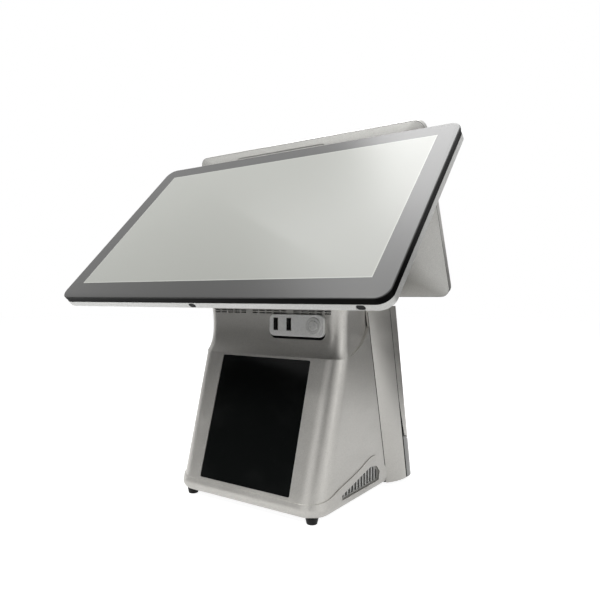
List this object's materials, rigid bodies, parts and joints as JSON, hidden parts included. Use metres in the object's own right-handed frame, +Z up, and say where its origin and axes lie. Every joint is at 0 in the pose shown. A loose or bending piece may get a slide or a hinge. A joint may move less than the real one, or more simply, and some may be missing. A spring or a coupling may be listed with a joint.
{
  "type": "pos touchscreen terminal",
  "caption": "Counter-top point of sale terminal: a leaning touchscreen on a moulded pedestal, with a smaller display for the customer at the back.",
  "frame": {"origin": "middle of the whole part's footprint box, on the counter under the feet", "axes": "+Z up; +X to the seller's right along the screen's width; -Y towards the seller, +Y towards the customer"},
  "size_m": [0.3856, 0.2777, 0.3898],
  "materials": {
    "front_shell": "satin silver grey moulding",
    "rear_shell": "satin silver grey moulding",
    "display_back": "fine matt dark grey moulding",
    "rear_cover": "satin dark silver moulding",
    "silver_trim": "satin bright silver",
    "vent": "fine moulded slats",
    "base_plate": "black powder coat",
    "rubber": "matt",
    "window": "polished black",
    "black_plastic": "fine matt",
    "black_gloss": "polished black",
    "touch_glass": "polished cover glass over a grey panel",
    "rear_glass": "polished dark cover glass",
    "panel": "display panel",
    "connector_steel": "pressed and plated",
    "frame_steel": "zinc plated sheet",
    "pin_steel": "ground and plated",
    "brass": "turned",
    "circuit_board": "solder resist",
    "heat_sink": "extruded and anodised"
  },
  "bodies": {
    "base": {"base_front_shell": "front_shell", "base_rear_shell": "rear_shell", "rear_cover": "rear_cover", "cable_cover": "rear_cover", "base_plate": "base_plate", "rubber_feet": "rubber", "front_window": "window", "side_vent_right": "vent", "side_vent_left": "vent", "port_plate": "silver_trim", "usb_shells": "connector_steel", "usb_tongues": "black_plastic", "port_board": "circuit_board", "button_ring": "silver_trim", "power_switch": "black_plastic", "chassis_right": "frame_steel", "chassis_left": "frame_steel", "board_posts": "brass", "main_board": "circuit_board", "heat_sink": "heat_sink", "storage_drive": "frame_steel", "rear_sockets": "black_plastic", "speaker": "black_plastic", "stand_bracket_right": "frame_steel", "stand_bracket_left": "frame_steel", "main_hinge_shafts": "pin_steel", "customer_hinge_shafts": "pin_steel", "hinge_washers": "pin_steel"},
    "main_display": {"touch_glass": "touch_glass", "display_band": "black_gloss", "display_rim": "silver_trim", "accessory_plugs": "rubber", "display_back_cover": "display_back", "lcd_panel": "panel", "display_tray": "frame_steel", "touch_board": "circuit_board", "main_arm_right": "frame_steel", "main_arm_left": "frame_steel", "main_arm_screws": "pin_steel"},
    "customer_display": {"customer_glass": "rear_glass", "customer_bezel": "rear_shell", "customer_back_cover": "rear_shell", "customer_lid": "rear_shell", "customer_lcd": "panel", "customer_board": "circuit_board", "customer_arm_right": "frame_steel", "customer_arm_left": "frame_steel", "customer_arm_screws": "pin_steel"},
    "power_button": {"power_button": "silver_trim"}
  },
  "joints": [
    {"name": "main_display_tilt", "type": "hinge", "parent": "base", "child": "main_display", "pos_m": [0, -0.007, 0.2403], "axis": [1, 0, 0], "range_deg": [0, 42]},
    {"name": "customer_display_tilt", "type": "hinge", "parent": "base", "child": "customer_display", "pos_m": [0, 0.08, 0.2203], "axis": [-1, 0, 0], "range_deg": [0, 15]},
    {"name": "power_button_press", "type": "slide", "parent": "base", "child": "power_button", "axis": [0, 1, 0], "range_m": [0, 0.0015], "stiffness_N_per_m": 900, "springref_m": -0.0006}
  ]
}
